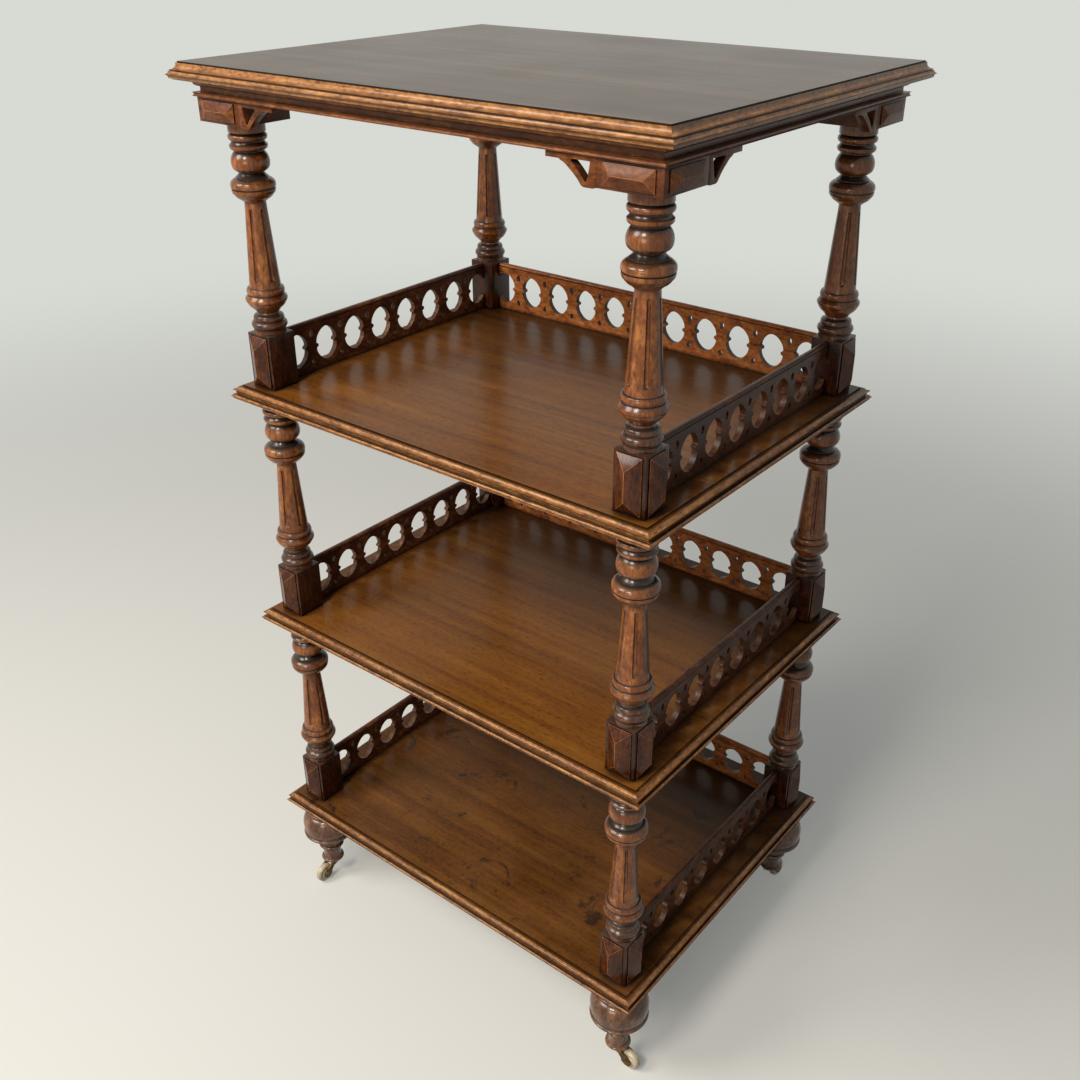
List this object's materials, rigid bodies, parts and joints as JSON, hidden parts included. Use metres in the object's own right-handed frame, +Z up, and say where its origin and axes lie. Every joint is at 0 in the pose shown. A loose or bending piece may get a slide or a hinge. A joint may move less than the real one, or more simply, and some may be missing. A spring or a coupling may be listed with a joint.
{
  "type": "etagere",
  "caption": "Tall open display stand with a moulded top and galleried shelves on turned, fluted columns, turned legs and swivel casters.",
  "frame": {"origin": "on the floor, under the middle of the top board", "axes": "+X is the width, +Z is up, the open front faces -Y"},
  "size_m": [0.6242, 0.4936, 1.1275],
  "materials": {
    "board_wood": "worn French polish",
    "turned_wood": "glossy French polish",
    "pierced_wood": "French polish",
    "caster_brass": "aged and darkened",
    "caster_ware": "glazed, cream"
  },
  "bodies": {
    "root": {"top_board": "board_wood", "under_rail_front": "turned_wood", "under_rail_right": "turned_wood", "under_rail_back": "turned_wood", "under_rail_left": "turned_wood", "shelf_lower": "board_wood", "column_lower_front_left": "turned_wood", "column_lower_front_right": "turned_wood", "column_lower_back_right": "turned_wood", "column_lower_back_left": "turned_wood", "gallery_lower_back": "pierced_wood", "gallery_lower_left": "pierced_wood", "gallery_lower_right": "pierced_wood", "shelf_middle": "board_wood", "column_middle_front_left": "turned_wood", "column_middle_front_right": "turned_wood", "column_middle_back_right": "turned_wood", "column_middle_back_left": "turned_wood", "gallery_middle_back": "pierced_wood", "gallery_middle_left": "pierced_wood", "gallery_middle_right": "pierced_wood", "shelf_upper": "board_wood", "column_upper_front_left": "turned_wood", "column_upper_front_right": "turned_wood", "column_upper_back_right": "turned_wood", "column_upper_back_left": "turned_wood", "gallery_upper_back": "pierced_wood", "gallery_upper_left": "pierced_wood", "gallery_upper_right": "pierced_wood", "capital_block_front_left": "turned_wood", "bracket_front_left_lengthwise": "pierced_wood", "bracket_front_left_crosswise": "pierced_wood", "leg_front_left": "turned_wood", "capital_block_front_right": "turned_wood", "bracket_front_right_lengthwise": "pierced_wood", "bracket_front_right_crosswise": "pierced_wood", "leg_front_right": "turned_wood", "capital_block_back_right": "turned_wood", "bracket_back_right_lengthwise": "pierced_wood", "bracket_back_right_crosswise": "pierced_wood", "leg_back_right": "turned_wood", "capital_block_back_left": "turned_wood", "bracket_back_left_lengthwise": "pierced_wood", "bracket_back_left_crosswise": "pierced_wood", "leg_back_left": "turned_wood"},
    "caster_front_left": {"caster_horn_front_left": "caster_brass", "caster_axle_front_left": "caster_brass"},
    "wheel_front_left": {"caster_wheel_front_left": "caster_ware"},
    "caster_front_right": {"caster_horn_front_right": "caster_brass", "caster_axle_front_right": "caster_brass"},
    "wheel_front_right": {"caster_wheel_front_right": "caster_ware"},
    "caster_back_right": {"caster_horn_back_right": "caster_brass", "caster_axle_back_right": "caster_brass"},
    "wheel_back_right": {"caster_wheel_back_right": "caster_ware"},
    "caster_back_left": {"caster_horn_back_left": "caster_brass", "caster_axle_back_left": "caster_brass"},
    "wheel_back_left": {"caster_wheel_back_left": "caster_ware"}
  },
  "joints": [
    {"name": "caster_swivel_front_left", "type": "hinge", "parent": "root", "child": "caster_front_left", "pos_m": [-0.2575, -0.19225, 0.03], "axis": [0, 0, 1], "continuous": true},
    {"name": "wheel_spin_front_left", "type": "hinge", "parent": "caster_front_left", "child": "wheel_front_left", "pos_m": [-0.2575, -0.21125, 0.0135], "axis": [1, 0, 0], "continuous": true},
    {"name": "caster_swivel_front_right", "type": "hinge", "parent": "root", "child": "caster_front_right", "pos_m": [0.2575, -0.19225, 0.03], "axis": [0, 0, 1], "continuous": true},
    {"name": "wheel_spin_front_right", "type": "hinge", "parent": "caster_front_right", "child": "wheel_front_right", "pos_m": [0.2765, -0.19225, 0.0135], "axis": [0, 1, 0], "continuous": true},
    {"name": "caster_swivel_back_right", "type": "hinge", "parent": "root", "child": "caster_back_right", "pos_m": [0.2575, 0.19225, 0.03], "axis": [0, 0, 1], "continuous": true},
    {"name": "wheel_spin_back_right", "type": "hinge", "parent": "caster_back_right", "child": "wheel_back_right", "pos_m": [0.2575, 0.21125, 0.0135], "axis": [-1, 0, 0], "continuous": true},
    {"name": "caster_swivel_back_left", "type": "hinge", "parent": "root", "child": "caster_back_left", "pos_m": [-0.2575, 0.19225, 0.03], "axis": [0, 0, 1], "continuous": true},
    {"name": "wheel_spin_back_left", "type": "hinge", "parent": "caster_back_left", "child": "wheel_back_left", "pos_m": [-0.2765, 0.19225, 0.0135], "axis": [0, -1, 0], "continuous": true}
  ]
}
